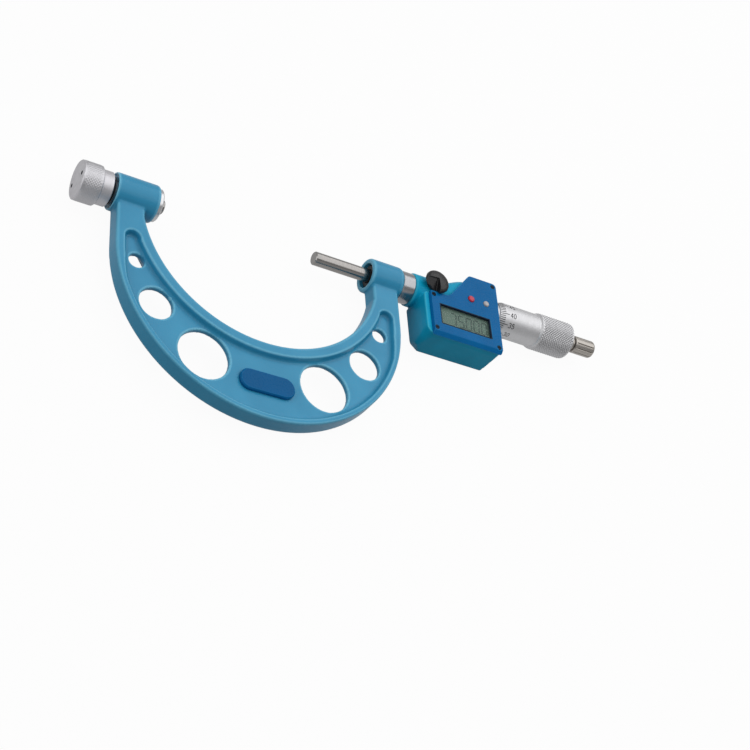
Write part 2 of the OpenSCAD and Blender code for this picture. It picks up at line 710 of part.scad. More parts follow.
module lock_shoe() {
    color("#b58a45") disc(lock_px, 0, spindle_r + run_gap, spindle_r + run_gap + 1.25, lock_pin_d / 2);
}

module encoder_stator() {
    color("#2f6b45") turned([[enc_x0 + 0.4, guide_d / 2 + 0.2], [enc_x0 + 0.4, enc_r], [enc_x0 + 2, enc_r],
        [enc_x0 + 2, guide_d / 2 + 0.2]]);
}

// disc and hub that turn with the spindle while it slides through them
module encoder_rotor() {
    a = enc_x0 + 2.8;
    b = enc_x1 - 0.4;
    color("#b99a58") {
        turned([[a, spindle_r + run_gap], [a, enc_r - 0.4], [a + 1.2, enc_r - 0.4], [a + 1.2, 4.9], [b, 4.9],
            [b, spindle_r + run_gap]]);
        translate([a + 1.6, -keyway_w / 2 + fit, -spindle_r - 0.4]) cube([b - a - 2.2, keyway_w - 2 * fit, 0.9]);
    }
}

module graduated_sleeve() {
    r = sleeve_d / 2;
    color("#cfcfd0") turned([[core_x0, core_d / 2], [core_x0, r], [sleeve_x1 - 0.3, r], [sleeve_x1, r - 0.3],
        [sleeve_x1, core_d / 2]]);
}

module inner_sleeve() {
    color("#9fa0a2") turned([[core_x0, spindle_r + 0.7], [core_x0, core_d / 2], [core_x1 - 0.4, core_d / 2],
        [core_x1, core_d / 2 - 0.4], [core_x1, spindle_r + run_gap], [core_x1 - nut_l, spindle_r + run_gap],
        [core_x1 - nut_l, spindle_r + 0.7]]);
}

module adjusting_nut() {
    r = sleeve_d / 2 - 0.1;
    color("#8b8c8e") turned([[sleeve_x1 + 0.4, core_d / 2], [sleeve_x1 + 0.4, r], [core_x1 - 1, r], [core_x1 - 1, core_d / 2]]);
}

module spindle() {
    thread_r = spindle_r - 0.05;
    x_thread = core_x0 - 4;
    color("#8f8d8b") difference() {
        turned([[opening + tip_t, 0], [opening + tip_t, spindle_r], [x_thread, spindle_r], [x_thread + 0.3, thread_r],
            [bore_x1, thread_r], [bore_x1, spindle_r + 0.1], [bore_x1 + cone_l, cone_r], [bore_x1 + cone_l, 0]]);
        // keyway for the encoder's hub
        translate([enc_x0 + 2.8 - travel, -keyway_w / 2, -spindle_r - 1]) cube([enc_x1 - enc_x0 - 2.8 + travel + 1, keyway_w, 1 + keyway_d]);
        bar(bore_x1 + cone_l - ratchet_screw_in - 0.4, bore_x1 + cone_l + 1, screw_r);
    }
}

module spindle_tip() {
    color("#a5a4a2") turned([[opening, 0], [opening, spindle_r - tip_edge], [opening + tip_edge, spindle_r],
        [opening + tip_t, spindle_r], [opening + tip_t, 0]]);
}

module thimble() {
    r = thimble_d / 2;
    g = grip_d / 2;
    bore = sleeve_d / 2 + 0.15;
    cone_x1 = bore_x1 + cone_l;
    color("#c3c3c5") turned([[thimble_x0, bore], [thimble_x0, bore + 0.25], [thimble_x0 + 3.2, r], [thimble_x1, r],
        [thimble_x1 + 0.6, g], [grip_x1 - 0.5, g], [grip_x1, g - 0.6], [grip_x1, screw_r], [cone_x1, screw_r],
        [cone_x1, cone_r], [bore_x1, spindle_r + 0.1], [bore_x1, bore]]);
}

module ratchet_disc() {
    r = ratchet_d / 2 - 0.95;
    color("#4a4846") difference() {
        bar(grip_x1, ratchet_x0 - 0.2, r);
        bar(grip_x1 - 1, ratchet_x0 + 1, screw_r);
    }
}

module ratchet_screw() {
    h = ratchet_x1 - ratchet_head;
    x0 = bore_x1 + cone_l - ratchet_screw_in;
    color("#77746f") turned([[x0, 0], [x0, screw_r], [h, screw_r], [h, ratchet_d / 2 - 1.4],
        [h + screw_head_t, ratchet_d / 2 - 1.4], [h + screw_head_t, 0]]);
}

// wire coil between the knob's floor and the screw's head
module ratchet_spring() {
    wire = 0.34;
    turns = 5;
    sides = 8;
    steps = 16;
    r = ratchet_d / 2 - 1.75;
    x0 = ratchet_x0 + ratchet_floor + wire + fit;
    x1 = ratchet_x1 - ratchet_head - wire - fit;
    rings = turns * steps;
    pts = [for (i = [0:rings]) let (a = 360 * i / steps, x = x0 + (x1 - x0) * i / rings)
        for (j = [0:sides - 1]) let (b = 360 * j / sides, q = r + wire * cos(b))
            [x + wire * sin(b), q * cos(a), q * sin(a)]];
    quads = [for (i = [0:rings - 1]) for (j = [0:sides - 1])
        let (k = (j + 1) % sides) [i * sides + j, i * sides + k, (i + 1) * sides + k, (i + 1) * sides + j]];
    first = [for (j = [0:sides - 1]) sides - 1 - j];
    last = [for (j = [0:sides - 1]) rings * sides + j];
    color("#9a9b9d") polyhedron(pts, concat(quads, [first, last]));
}

module ratchet_knob() {
    r = ratchet_d / 2;
    c = r - 1.05;
    color("#6e6a66") difference() {
        turned([[ratchet_x0, screw_r + fit], [ratchet_x0, r - 0.4], [ratchet_x0 + 0.4, r], [ratchet_x1 - 1, r],
            [ratchet_x1 - 0.4, r - 0.35], [ratchet_x1, r - 1.1], [ratchet_x1, 0], [ratchet_x1 - 1, 0],
            [ratchet_x1 - 1, c], [ratchet_x0 + ratchet_floor, c], [ratchet_x0 + ratchet_floor, screw_r + fit]]);
        for (i = [0:flutes - 1])
            rotate([i * 360 / flutes, 0, 0]) translate([ratchet_x0 + 1, 0, r + 0.18]) rotate([0, 90, 0])
                cylinder(h = ratchet_l - 2.2, r = 0.42, $fn = 16);
    }
}

frame();
label_pad();
anvil_bush();
anvil();
anvil_tip();
anvil_tail();
cap_pad();
clamp_cap();
guide_tube();
wiper_ring();
bright_ring();
housing();
front_panel();
window_lens();
display();
circuit_board();
battery_contact();
battery();
battery_cover();
key_seals();
red_button();
grey_button();
panel_screws();
lock_knob();
lock_screw();
lock_shoe();
encoder_stator();
encoder_rotor();
graduated_sleeve();
inner_sleeve();
adjusting_nut();
spindle();
spindle_tip();
thimble();
ratchet_disc();
ratchet_screw();
ratchet_spring();
ratchet_knob();
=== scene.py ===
import bisect
import math

import bmesh
import bpy
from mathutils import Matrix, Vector


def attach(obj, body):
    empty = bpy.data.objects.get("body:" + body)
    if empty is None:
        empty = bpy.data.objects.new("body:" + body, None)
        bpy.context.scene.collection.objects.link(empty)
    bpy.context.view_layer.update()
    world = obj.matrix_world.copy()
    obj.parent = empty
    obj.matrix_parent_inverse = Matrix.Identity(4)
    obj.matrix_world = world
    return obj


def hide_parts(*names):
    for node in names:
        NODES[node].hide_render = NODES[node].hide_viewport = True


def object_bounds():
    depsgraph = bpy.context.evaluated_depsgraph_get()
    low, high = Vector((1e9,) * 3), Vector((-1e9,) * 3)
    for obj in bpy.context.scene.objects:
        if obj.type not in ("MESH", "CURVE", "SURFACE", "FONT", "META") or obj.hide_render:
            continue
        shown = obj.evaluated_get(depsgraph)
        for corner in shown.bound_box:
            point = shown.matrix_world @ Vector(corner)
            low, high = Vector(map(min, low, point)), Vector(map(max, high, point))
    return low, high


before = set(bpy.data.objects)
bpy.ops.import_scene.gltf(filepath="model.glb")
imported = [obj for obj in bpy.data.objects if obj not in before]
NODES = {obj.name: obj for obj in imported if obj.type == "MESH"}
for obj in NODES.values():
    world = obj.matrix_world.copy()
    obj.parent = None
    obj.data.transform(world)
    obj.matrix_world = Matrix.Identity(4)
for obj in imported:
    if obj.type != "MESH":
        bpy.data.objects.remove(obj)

cad_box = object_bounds()
MM = 0.001
TURN = 2 * math.pi

# Camera, where the photograph was taken from: place in metres, turns in degrees
CAMERA_AT = (-0.20395, -0.41823, 0.44184)
CAMERA_TURNS = (36.536, -32.085, -4.654)
SENSOR_MM, LENS_MM = 36, 70.548
NEAREST, FARTHEST = 0.01, 20

camera_data = bpy.data.cameras.new("camera")
camera = bpy.data.objects.new("camera", camera_data)
bpy.context.scene.collection.objects.link(camera)
camera.location = CAMERA_AT
camera.rotation_euler = [math.radians(a) for a in CAMERA_TURNS]
camera_data.sensor_width = SENSOR_MM
camera_data.sensor_fit = "HORIZONTAL"
camera_data.lens = LENS_MM
camera_data.clip_start = NEAREST
camera_data.clip_end = FARTHEST
bpy.context.scene.camera = camera
bpy.context.scene.view_settings.view_transform = "Standard"


# Finishes

# Patterns, in waves to the metre, from the size that each has on the real tool
SPRAY_PASS = 60       # 17 mm, the width of a spray pass
ENAMEL_HAZE = 900     # 1.1 mm
ORANGE_PEEL = 1110    # 0.9 mm
TOOL_MARKS = 8300     # 0.12 mm; real marks are some 0.03 mm apart, too fine to show
TOOL_HAZE = 3300      # 0.3 mm
OIL_HAZE = 3000       # 0.33 mm
MELT_DRIFT = 90       # 11 mm, how far the melt's colour runs
HAND_RUB = 1500       # 0.7 mm
CLOTH_WIPE = 400      # 2.5 mm

# Depths and reaches in mm
PEEL_DEPTH = 0.012
THREAD_DEPTH = 0.25
CORNER_REACH = 2.4
GROOVE_REACH = 0.5

# Pointiness is 0.5 on a flat: where the painted highlight on an edge begins, where it is brightest,
# and how strong
ENAMEL_EDGE_HIGHLIGHT = {"From Min": 0.508, "From Max": 0.54, "To Max": 0.8}
MOULDED_EDGE_HIGHLIGHT = {"From Min": 0.51, "From Max": 0.55, "To Max": 0.75}
# Open faces see 1: where the painted shade in a corner or groove begins, where it is darkest, and
# how dark
ENAMEL_CORNER_SHADE = {"From Min": 0.95, "From Max": 0.55, "To Max": 0.95}
KNURL_GROOVE_SHADE = {"From Min": 0.98, "From Max": 0.78, "To Max": 0.85}

# The thread's painted shade ends between these stations, in metres
THREAD_END = {"From Min": -0.0240, "From Max": -0.0234}
THREAD_PITCH = 1.0
# Noise keeps mostly between these two values, which stand for its lowest and highest
SPREAD = {"From Min": 0.3, "From Max": 0.7}
WHOLE = {"From Min": 0.0, "From Max": 1.0}
# How far the roughness drifts down and up on enamel and metal, and on plastic
HAZE_DOWN, HAZE_UP = 0.05, 0.06
RUB_DOWN, RUB_UP = 0.04, 0.05
CORNER_RAYS, GROOVE_RAYS = 6, 8
# Stretch of the tool marks on turned work, which run round X
ROUND_X = (1, 0.06, 0.06)


def srgb(code):
    """Hex sRGB to linear RGBA."""
    v = [int(code[i:i + 2], 16) / 255 for i in (1, 3, 5)]
    return tuple([c / 12.92 if c <= 0.04045 else ((c + 0.055) / 1.055) ** 2.4 for c in v] + [1.0])


def add(tree, kind, inputs=(), **props):
    """New node with its properties and its inputs, given as values or sockets."""
    node = tree.nodes.new(kind)
    for key, value in props.items():
        setattr(node, key, value)
    for key, value in dict(inputs).items():
        if isinstance(value, bpy.types.NodeSocket):
            tree.links.new(value, node.inputs[key])
        else:
            node.inputs[key].default_value = value
    return node


def surface(name, **settings):
    """Material with its shader set, underscores for spaces, and the places on its object."""
    material = bpy.data.materials.new(name)
    material.use_nodes = True
    tree = material.node_tree
    shader = tree.nodes["Principled BSDF"]
    for key, value in settings.items():
        shader.inputs[key.replace("_", " ")].default_value = value
    return material, tree, shader, add(tree, "ShaderNodeTexCoord").outputs["Object"]


def waver(tree, spot, waves, low=0.0, high=1.0, detail=2.0, spread=SPREAD):
    """Value that drifts from low to high over the surface."""
    noise = add(tree, "ShaderNodeTexNoise", {"Vector": spot, "Scale": waves, "Detail": detail})
    return add(tree, "ShaderNodeMapRange", {
        "Value": noise.outputs["Fac"], "To Min": low, "To Max": high, **spread}).outputs[0]


def sprayed_enamel(name, deep, pale, edge, corner, rough, gloss, coat):
    """Paint that drifts in tone, with a painted highlight along edges and painted shade in corners,
    under an orange peel.
    """
    enamel, tree, shader, spot = surface(name, IOR=1.5, Specular_IOR_Level=gloss, Coat_Weight=coat,
                                         Coat_Roughness=0.18)
    tone = waver(tree, spot, SPRAY_PASS, detail=3)
    paint = add(tree, "ShaderNodeMix", {"Factor": tone, "A": srgb(deep), "B": srgb(pale)},
                data_type="RGBA")
    # Painted highlight: the colour pales along convex edges
    bend = add(tree, "ShaderNodeNewGeometry").outputs["Pointiness"]
    edge_highlight_mask = add(tree, "ShaderNodeMapRange", {"Value": bend, **ENAMEL_EDGE_HIGHLIGHT})
    edge_highlighted = add(tree, "ShaderNodeMix", {
        "Factor": edge_highlight_mask.outputs[0], "A": paint.outputs["Result"], "B": srgb(edge)},
        data_type="RGBA")
    # Painted shade: the colour darkens in corners, recesses and hole walls, where occlusion is low
    shut = add(tree, "ShaderNodeAmbientOcclusion", {"Distance": CORNER_REACH * MM},
               only_local=True, samples=CORNER_RAYS)
    corner_shade_mask = add(tree, "ShaderNodeMapRange", {"Value": shut.outputs["AO"], **ENAMEL_CORNER_SHADE})
    corner_shaded = add(tree, "ShaderNodeMix", {
        "Factor": corner_shade_mask.outputs[0], "A": edge_highlighted.outputs["Result"], "B": srgb(corner)},
        data_type="RGBA")
    tree.links.new(corner_shaded.outputs["Result"], shader.inputs["Base Color"])
    haze = waver(tree, spot, ENAMEL_HAZE, rough - HAZE_DOWN, rough + HAZE_UP)
    tree.links.new(haze, shader.inputs["Roughness"])
    peel = add(tree, "ShaderNodeTexNoise", {"Vector": spot, "Scale": ORANGE_PEEL}).outputs["Fac"]
    skin = add(tree, "ShaderNodeBump", {"Height": peel, "Distance": PEEL_DEPTH * MM})
    tree.links.new(skin.outputs[0], shader.inputs["Normal"])
    return enamel


def machined(name, deep, pale, rough, along=(1, 1, 1), depth_mm=0.0015, grooves=None):
    """Cut metal: tool marks run along the smallest of three stretches; knurl grooves get painted
    shade.
    """
    metal, tree, shader, spot = surface(name, Metallic=1.0)
    spot = add(tree, "ShaderNodeMapping", {"Vector": spot, "Scale": along}).outputs[0]
    marks = add(tree, "ShaderNodeTexNoise", {"Vector": spot, "Scale": TOOL_MARKS}).outputs["Fac"]
    tone = add(tree, "ShaderNodeMapRange", {"Value": marks, **SPREAD})
    bare = add(tree, "ShaderNodeMix", {
        "Factor": tone.outputs[0], "A": srgb(deep), "B": srgb(pale)}, data_type="RGBA")
    if grooves:
        # Painted shade: the colour darkens down in the knurl's grooves
        shut = add(tree, "ShaderNodeAmbientOcclusion", {"Distance": GROOVE_REACH * MM},
                   only_local=True, samples=GROOVE_RAYS)
        groove_shade_mask = add(tree, "ShaderNodeMapRange", {"Value": shut.outputs["AO"], **KNURL_GROOVE_SHADE})
        bare = add(tree, "ShaderNodeMix", {
            "Factor": groove_shade_mask.outputs[0], "A": bare.outputs["Result"], "B": srgb(grooves)},
            data_type="RGBA")
    tree.links.new(bare.outputs["Result"], shader.inputs["Base Color"])
    haze = waver(tree, spot, TOOL_HAZE, rough - HAZE_DOWN, rough + HAZE_UP)
    tree.links.new(haze, shader.inputs["Roughness"])
    cut = add(tree, "ShaderNodeBump", {"Height": marks, "Distance": depth_mm * MM})
    tree.links.new(cut.outputs[0], shader.inputs["Normal"])
    return metal


def moulded(name, deep, pale, rough, gloss=0.5, coat=0.0, grain_mm=0.25, depth_mm=0.004, edge=None):
    """Plastic or rubber from a spark-eroded mould: a fine even grain, and where an edge colour is
    given, a painted highlight along edges.
    """
    plastic, tree, shader, spot = surface(name, IOR=1.49, Specular_IOR_Level=gloss,
                                          Coat_Weight=coat, Coat_Roughness=0.1)
    melt = add(tree, "ShaderNodeMix", {
        "Factor": waver(tree, spot, MELT_DRIFT), "A": srgb(deep), "B": srgb(pale)},
        data_type="RGBA")
    if edge:
        # Painted highlight: the colour pales along convex edges
        bend = add(tree, "ShaderNodeNewGeometry").outputs["Pointiness"]
        edge_highlight_mask = add(tree, "ShaderNodeMapRange", {"Value": bend, **MOULDED_EDGE_HIGHLIGHT})
        melt = add(tree, "ShaderNodeMix", {
            "Factor": edge_highlight_mask.outputs[0], "A": melt.outputs["Result"], "B": srgb(edge)},
            data_type="RGBA")
    tree.links.new(melt.outputs["Result"], shader.inputs["Base Color"])
    rub = waver(tree, spot, HAND_RUB, rough - RUB_DOWN, rough + RUB_UP)
    tree.links.new(rub, shader.inputs["Roughness"])
    grain = add(tree, "ShaderNodeTexNoise", {"Vector": spot, "Scale": 1000 / grain_mm, "Detail": 3})
    skin = add(tree, "ShaderNodeBump", {
        "Height": grain.outputs["Fac"], "Distance": depth_mm * MM})
    tree.links.new(skin.outputs[0], shader.inputs["Normal"])
    return plastic


def threaded_bush(name, deep, pale, face):
    """Steel bush: bright flange, and behind the boss a cut thread painted dark as shade, darker
    again in each groove.
    """
    bush, tree, shader, spot = surface(name, Metallic=1.0)
    x = add(tree, "ShaderNodeSeparateXYZ", {"Vector": spot}).outputs["X"]
    bright = add(tree, "ShaderNodeMapRange", {"Value": x, **THREAD_END}).outputs[0]
    turns = add(tree, "ShaderNodeMath", {0: x, 1: 1000 * TURN / THREAD_PITCH}, operation="MULTIPLY")
    groove = add(tree, "ShaderNodeMath", {0: turns.outputs[0]}, operation="SINE").outputs[0]
    tone = add(tree, "ShaderNodeMapRange", {"Value": groove, "From Min": -1.0, "From Max": 1.0})
    # Painted shade: the thread behind the boss is dark, and darker again in each groove
    shaded_thread = add(tree, "ShaderNodeMix", {
        "Factor": tone.outputs[0], "A": srgb(deep), "B": srgb(pale)}, data_type="RGBA")
    steel = add(tree, "ShaderNodeMix", {
        "Factor": bright, "A": shaded_thread.outputs["Result"], "B": srgb(face)}, data_type="RGBA")
    tree.links.new(steel.outputs["Result"], shader.inputs["Base Color"])
    haze = waver(tree, spot, OIL_HAZE, low=0.22, high=0.4, spread=WHOLE)
    tree.links.new(haze, shader.inputs["Roughness"])
    plain = add(tree, "ShaderNodeMath", {0: 1.0, 1: bright}, operation="SUBTRACT").outputs[0]
    flank = add(tree, "ShaderNodeMath", {0: groove, 1: plain}, operation="MULTIPLY").outputs[0]
    cut = add(tree, "ShaderNodeBump", {"Height": flank, "Distance": THREAD_DEPTH * MM})
    tree.links.new(cut.outputs[0], shader.inputs["Normal"])
    return bush


def wiped_acrylic(name, tint):
    """Clear sheet, all but unseen, with a faint uneven light where a cloth went over it."""
    acrylic, tree, shader, spot = surface(name, IOR=1.49, Alpha=0.08, Specular_IOR_Level=0.3)
    shader.inputs["Base Color"].default_value = srgb(tint)
    wipe = waver(tree, spot, CLOTH_WIPE, low=0.02, high=0.1, spread=WHOLE)
    tree.links.new(wipe, shader.inputs["Roughness"])
    return acrylic


FINISH = {
    # Satin stoving enamel on cast steel: one even blue with soft lights, a painted highlight along
    # the edges and painted shade in the corners
    "casting": sprayed_enamel("satin stoving enamel on cast steel", "#2a8ab2", "#3294bc",
                              "#80cbe6", "#004c6c", 0.34, 0.27, 0.1),
    # Gloss enamel on the pad: deeper and wetter than the casting round it, with a painted highlight
    # on its edges and painted shade in its corners
    "pad": sprayed_enamel("gloss enamel", "#00568a", "#005c94", "#1b76ac", "#00406a",
                          0.28, 0.08, 0.02),
    # Moulded ABS of the housing: teal, satin, with a painted highlight along its edges
    "housing": moulded("moulded teal ABS", "#0799bf", "#0aa3ca", 0.34, 0.1, edge="#4dbcd2"),
    # Moulded ABS of the front panel: strong blue with a painted highlight along its rim
    "panel": moulded("moulded blue ABS", "#005f99", "#0065a2", 0.28, 0.08, edge="#2a8cc4"),
    # Satin chrome on turned steel: light grey, lights spread wide, so that a scale reads well
    "chrome": machined("satin chrome plate", "#cacacc", "#d6d6d8", 0.5, ROUND_X),
    # Polished steel ring: a darker grey with a sharper light and a deeper shade
    "ring": machined("polished steel", "#9a9a9d", "#a6a6a9", 0.22, ROUND_X),
    # Screw thread painted dark as shade in the gap behind the boss, darker in its grooves, and the
    # bush's bright face
    "bush": threaded_bush("shaded steel thread", "#4a4744", "#5a5753", "#cacacc"),
    # Nickel-plated steel of the clamp cap: warm light grey
    "cap": machined("nickel-plated steel", "#c6c5c9", "#d0cfd3", 0.5, ROUND_X),
    # The same plates on the two knurls, with painted shade down in the grooves
    "grip knurl": machined("knurled satin chrome plate", "#cacacc", "#d6d6d8", 0.45,
                           grooves="#6c6c70"),
    "cap knurl": machined("knurled nickel plate", "#bebdc1", "#c9c9cc", 0.45, grooves="#96959a"),
    # Ground tool steel of the spindle: nearly a mirror across, streaked round
    "ground": machined("ground tool steel", "#8f8c8a", "#a3a09d", 0.2, ROUND_X, 0.0008),
    # Lapped hard metal of the measuring faces: grey and smooth
    "lapped": machined("lapped hard metal", "#8f8d8b", "#9a9896", 0.16, depth_mm=0.0003),
    # Burnished steel of the ratchet: warm and darker than the chrome
    "burnished": machined("burnished steel", "#a8a39d", "#b6b1ab", 0.34, ROUND_X),
    # Black oxide screws: nearly black with a blue cast
    "black oxide": machined("black oxide steel", "#1d242c", "#2a333d", 0.4),
    # Turned brass of the shoe, the cap's pad and the encoder ring: warm yellow, streaked round
    "brass": machined("turned brass", "#a57c3c", "#b98d49", 0.3, ROUND_X),
    # Tinned steel of the cell and the spring: pale and soft
    "tinned": machined("tinned steel", "#b5b7b9", "#c6c8ca", 0.28),
    # Moulded phenolic of the lock knob: small bright lights on black, and a painted highlight along
    # its edges
    "phenolic": moulded("black phenolic", "#161618", "#1e1e20", 0.28, 0.35, 0.06, edge="#3a3a3c"),
    # Nitrile rubber of the seals: dull black
    "rubber": moulded("nitrile rubber", "#232325", "#2c2c2e", 0.62),
    # Dark lining round the window, painted shade for the shadow on its walls: dull, with the
    # panel's blue in it
    "window shade": moulded("dark window lining", "#14243a", "#1a2c44", 0.55, 0.2),
    # Glass-fibre board under green lacquer: even and a little shiny
    "board": moulded("circuit board laminate", "#19553a", "#1f6244", 0.45),
    # Moulded polycarbonate buttons: one a clear red, the other a soft grey
    "red": moulded("red polycarbonate", "#b9243d", "#c92f4c", 0.3),
    "grey": moulded("grey polycarbonate", "#a9a6a6", "#bab7b7", 0.34),
    # Liquid-crystal glass: flat grey green, its figures only a little darker
    "display": moulded("liquid-crystal glass", "#6a8377", "#70897d", 0.3, 0.15),
    "figures": moulded("liquid-crystal figures", "#4c5f58", "#52655e", 0.35, 0.15),
    # Baked filling of the engraved scales: matt black
    "scale": moulded("baked scale filling", "#1c1c1e", "#262628", 0.5, 0.2, grain_mm=0.1,
                     depth_mm=0.001),
    # Clear acrylic window
    "acrylic": wiped_acrylic("clear acrylic", "#5f6f6a"),
}

NODE_FINISH = {
    "frame": "casting", "label_pad": "pad", "anvil_bush": "bush", "anvil": "ground",
    "anvil_tip": "lapped", "anvil_tail": "burnished", "cap_pad": "brass", "clamp_cap": "cap",
    "guide_tube": "ground", "wiper_ring": "rubber", "bright_ring": "ring", "housing": "housing",
    "front_panel": "panel", "window_lens": "acrylic", "display": "display",
    "circuit_board": "board", "battery_contact": "brass", "battery": "tinned",
    "battery_cover": "phenolic", "key_seals": "rubber", "red_button": "red",
    "grey_button": "grey", "panel_screws": "black oxide", "lock_knob": "phenolic",
    "lock_screw": "burnished", "lock_shoe": "brass", "encoder_stator": "board",
    "encoder_rotor": "brass", "graduated_sleeve": "chrome", "inner_sleeve": "ground",
    "adjusting_nut": "burnished", "spindle": "ground", "spindle_tip": "lapped",
    "thimble": "chrome", "ratchet_disc": "burnished", "ratchet_screw": "burnished",
    "ratchet_spring": "tinned", "ratchet_knob": "burnished",
}
for node, finish in NODE_FINISH.items():
    wearer = NODES[node].data.materials
    wearer.clear()
    wearer.append(FINISH[finish])


# Ways of making a piece; sizes are in mm, and X is the measuring axis

SHARP_EDGE, KNURL_EDGE = 32, 20    # degrees above which an edge stays sharp
ON_AXIS = 1e-6                     # a ring smaller than this is one point
SMOOTHING = 0.5


def make_piece(name, bm, finish, body, sharp=SHARP_EDGE):
    """Piece from a bmesh in metres, smooth up to the sharp angle, riding on a body."""
    bm.normal_update()
    for face in bm.faces:
        face.smooth = True
    for e in bm.edges:
        if len(e.link_faces) == 2 and e.calc_face_angle(0) > math.radians(sharp):
            e.smooth = False
    mesh = bpy.data.meshes.new(name)
    bm.to_mesh(mesh)
    bm.free()
    mesh.materials.append(FINISH[finish])
    piece = bpy.data.objects.new(name, mesh)
    bpy.context.scene.collection.objects.link(piece)
    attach(piece, body)
    return piece


def round_corners(points, steps=4):
    """Profile of (x, r) from points of (x, r, corner radius)."""
    profile = []
    for i, point in enumerate(points):
        radius = point[2] if len(point) > 2 else 0
        if not radius or i in (0, len(points) - 1):
            profile.append((point[0], point[1]))
            continue
        corner = Vector((point[0], point[1]))
        back = (Vector(points[i - 1][:2]) - corner).normalized()
        on = (Vector(points[i + 1][:2]) - corner).normalized()
        half = back.angle(on) / 2
        trim = radius / math.tan(half)
        start, end = corner + back * trim, corner + on * trim
        centre = corner + (back + on).normalized() * radius / math.sin(half)
        first = math.atan2(start.y - centre.y, start.x - centre.x)
        last = math.atan2(end.y - centre.y, end.x - centre.x)
        sweep = (last - first + 3 * math.pi) % TURN - math.pi
        for k in range(steps + 1):
            a = first + sweep * k / steps
            profile.append((centre.x + radius * math.cos(a), centre.y + radius * math.sin(a)))
    return profile


def turned(name, points, sides, cut_radius, finish, body):
    """Piece turned about X from (x, r, corner radius); cut_radius(x, r, angle) cuts into it."""
    bm = bmesh.new()
    rings = []
    for x, r in round_corners(points):
        if r < ON_AXIS:
            rings.append([bm.verts.new((x * MM, 0, 0))])
            continue
        ring = []
        for i in range(sides):
            a = TURN * i / sides
            q = cut_radius(x, r, a)
            ring.append(bm.verts.new((x * MM, q * math.cos(a) * MM, q * math.sin(a) * MM)))
        rings.append(ring)
    for a, b in zip(rings, rings[1:]):
        for i in range(sides):
            k = (i + 1) % sides
            quad = [a[i % len(a)], a[k % len(a)], b[k % len(b)], b[i % len(b)]]
            corners = list(dict.fromkeys(quad))
            if len(corners) > 2:
                bm.faces.new(corners)
    bmesh.ops.recalc_face_normals(bm, faces=bm.faces)
    return make_piece(name, bm, finish, body)


def knurl(name, x0, x1, r, depth, count, finish, body):
    """Band of pyramids in a diamond grid round X, count of them round."""
    bm = bmesh.new()
    pitch = TURN * r / count
    rows = max(2, round((x1 - x0) / pitch) * 2)
    step = (x1 - x0) / rows

    def at(row, k, q):
        a = math.pi * k / count
        return bm.verts.new(((x0 + row * step) * MM, q * math.cos(a) * MM, q * math.sin(a) * MM))

    low = {(row, k): at(row, k, r - depth) for row in range(rows + 1) for k in range(2 * count)
           if (row + k) % 2 == 0}
    for row in range(rows + 1):
        for k in range(2 * count):
            if (row + k) % 2 == 0:
                continue
            left, right = low[(row, (k - 1) % (2 * count))], low[(row, (k + 1) % (2 * count))]
            up, down = low.get((row + 1, k)), low.get((row - 1, k))
            top = at(row, k, r if up and down else r - depth)
            for a, b in ((left, up), (up, right), (right, down), (down, left)):
                if a and b:
                    bm.faces.new((top, a, b))
    bmesh.ops.recalc_face_normals(bm, faces=bm.faces)
    return make_piece(name, bm, finish, body, KNURL_EDGE)


def soft_edged(node, name, finish, body, voxel_mm, passes):
    """Stands for a solid, with its edges run soft as in a casting or moulding."""
    piece = bpy.data.objects.new(name, NODES[node].data.copy())
    bpy.context.scene.collection.objects.link(piece)
    grid = piece.modifiers.new("grid", "REMESH")
    grid.mode = "VOXEL"
    grid.voxel_size = voxel_mm * MM
    smooth = piece.modifiers.new("smooth", "SMOOTH")
    smooth.factor = SMOOTHING
    smooth.iterations = passes
    done = bpy.context.evaluated_depsgraph_get()
    mesh = bpy.data.meshes.new_from_object(piece.evaluated_get(done))
    piece.modifiers.clear()
    piece.data = mesh
    for face in mesh.polygons:
        face.use_smooth = True
    mesh.materials.clear()
    mesh.materials.append(FINISH[finish])
    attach(piece, body)
    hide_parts(node)
    return piece


# The frame's casting: its bores are round, and its rims narrower than the solid's

# Lightening holes: x, y, radius
HOLES = ((18.97, -71.59, 11.7), (76.03, -71.59, 11.7), (-2.61, -52.89, 7.6),
         (97.61, -52.89, 7.6), (-11.76, -33.97, 3.5), (106.76, -33.97, 3.5))
ON_BORE = 0.03        # a corner this near to the radius lies on the bore
BORE_REACH = 1.2      # how far from the bore its rounding fades out
# The outer circle of the bow lies lower than the throat's
BOW_X, OUTER_Y, THROAT_Y = 47.5, -26.8, 0
WEB_TOP, RIM_FOOT = 1.4, 0.35
ARMS_END, ARMS_FADE = 34, 12
# Radii between which a rim's wall slides: starts, is full, is still full, has gone
OUTER_WALL = (64.2, 64.8, 66.2, 69.8)
THROAT_WALL = (58.8, 63.2, 64.6, 65.4)
RIM_SLIDE = 1.4


def round_bore(piece, solid, cx, cy, r):
    """Take the flats of the solid's facets out of a bore along Z."""
    angles = set()
    for v in solid.data.vertices:
        x, y = v.co.x / MM - cx, v.co.y / MM - cy
        if abs(math.hypot(x, y) - r) < ON_BORE:
            angles.add(round(math.atan2(y, x), 3))
    angles = sorted(angles)
    angles = [angles[-1] - TURN] + angles + [angles[0] + TURN]
    for v in piece.data.vertices:
        x, y = v.co.x / MM - cx, v.co.y / MM - cy
        d = math.hypot(x, y)
        if abs(d - r) > BORE_REACH:
            continue
        a = math.atan2(y, x)
        i = bisect.bisect_right(angles, a)
        half = (angles[i] - angles[i - 1]) / 2
        flat = r * math.cos(half) / math.cos(a - angles[i - 1] - half)
        k = (d + (r - flat) * (1 - abs(d - r) / BORE_REACH)) / d
        v.co.x, v.co.y = (cx + x * k) * MM, (cy + y * k) * MM


